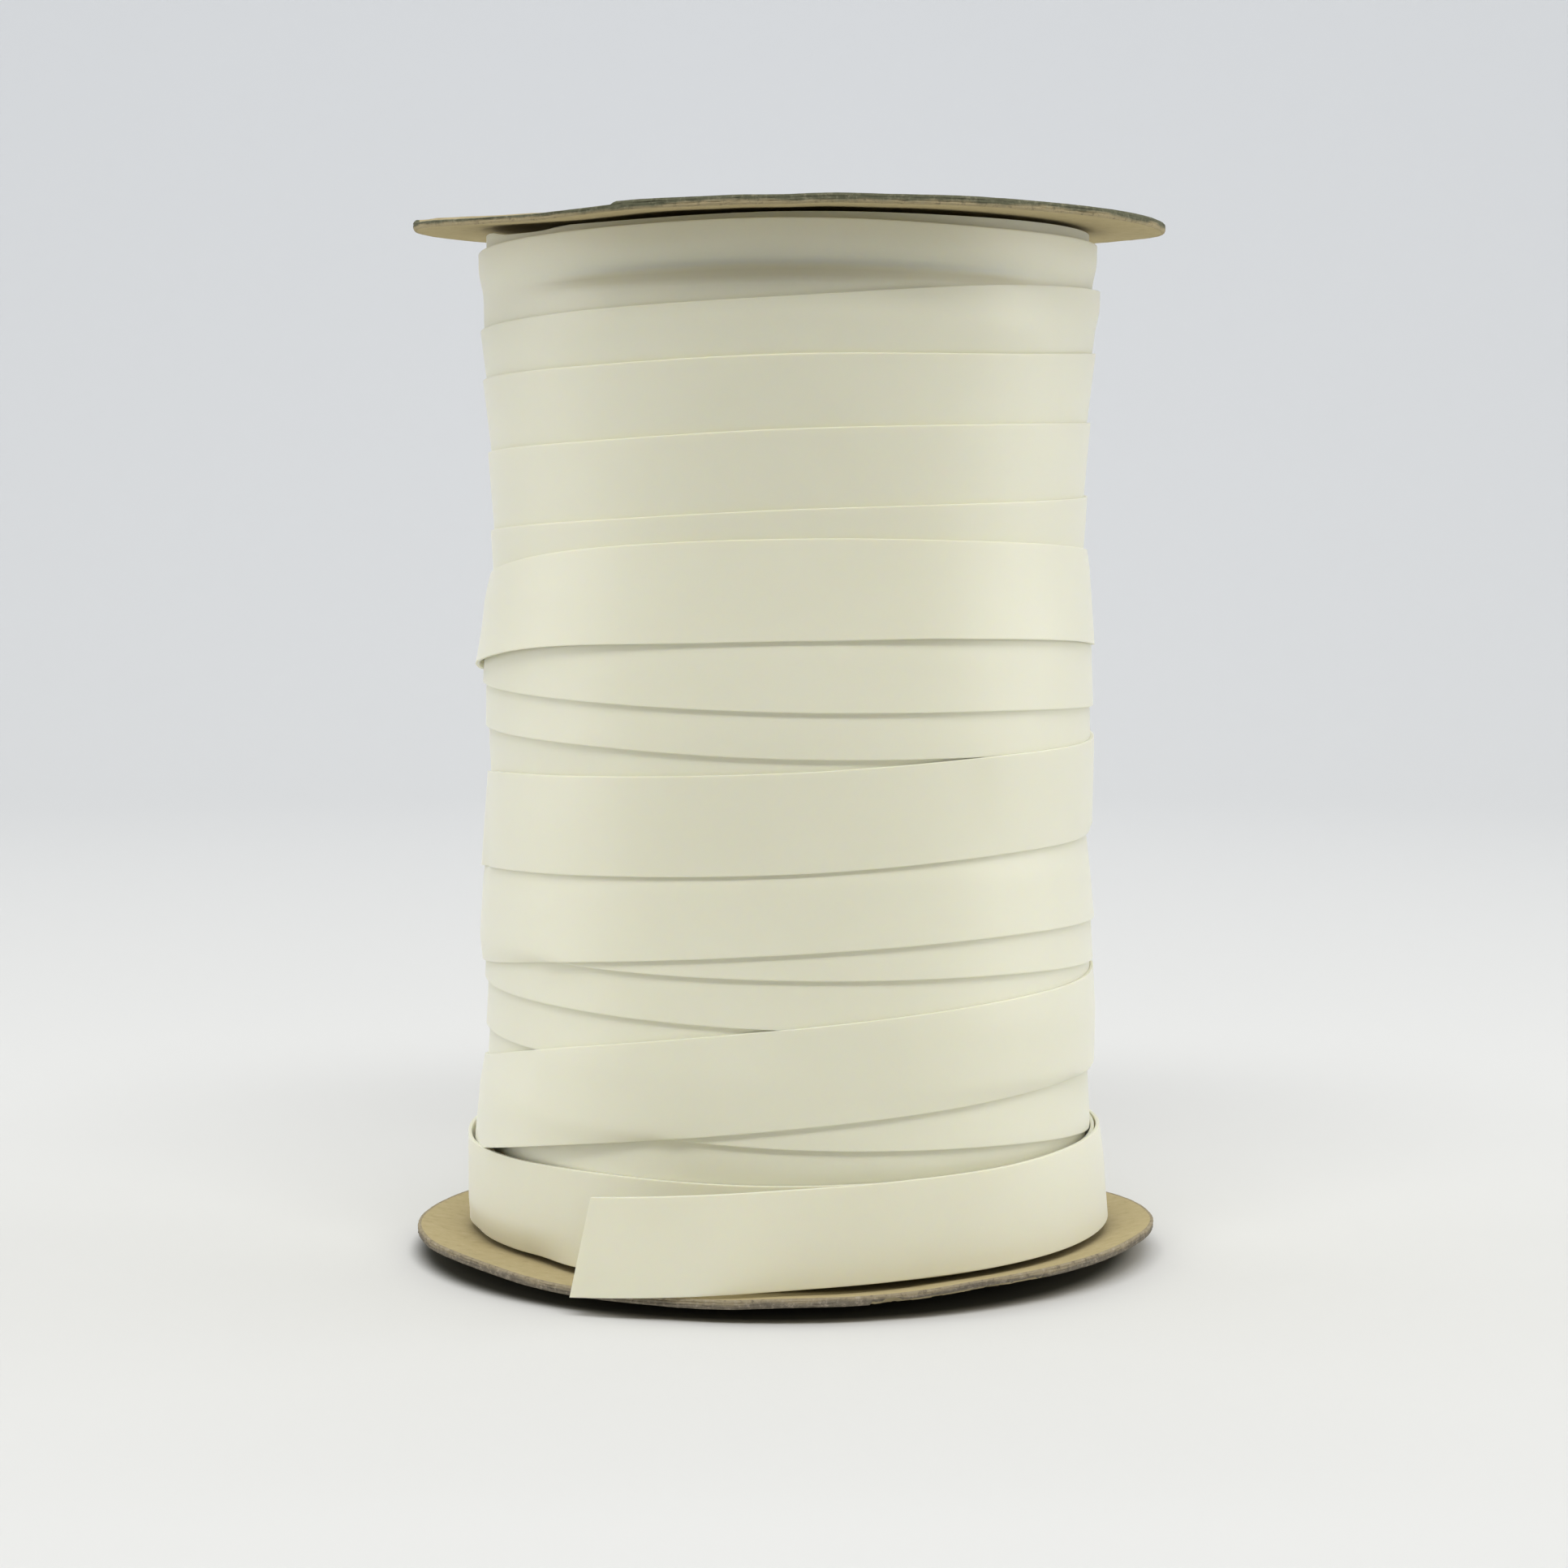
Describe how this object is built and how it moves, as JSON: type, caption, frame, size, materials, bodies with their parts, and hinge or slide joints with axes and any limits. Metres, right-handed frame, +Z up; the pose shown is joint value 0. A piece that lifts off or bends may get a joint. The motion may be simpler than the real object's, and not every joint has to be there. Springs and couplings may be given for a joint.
{
  "type": "roll of vinyl binding",
  "caption": "Roll of narrow cream vinyl binding tape wound in slanting, overlapping turns between two round kraft board discs, with its loose end standing off low down.",
  "frame": {"origin": "on the floor under the roll's axis, at the middle of the bottom disc's underside", "axes": "+Z up along the roll's axis, -Y towards the front, where the tape's loose end is"},
  "size_m": [0.1524, 0.1524, 0.2123],
  "materials": {
    "kraft_board": "matte kraft board",
    "vinyl_tape": "satin flexible vinyl"
  },
  "bodies": {
    "root": {"flange_bottom": "kraft_board", "flange_top": "kraft_board", "winding": "vinyl_tape", "loose_end": "vinyl_tape"}
  },
  "joints": []
}
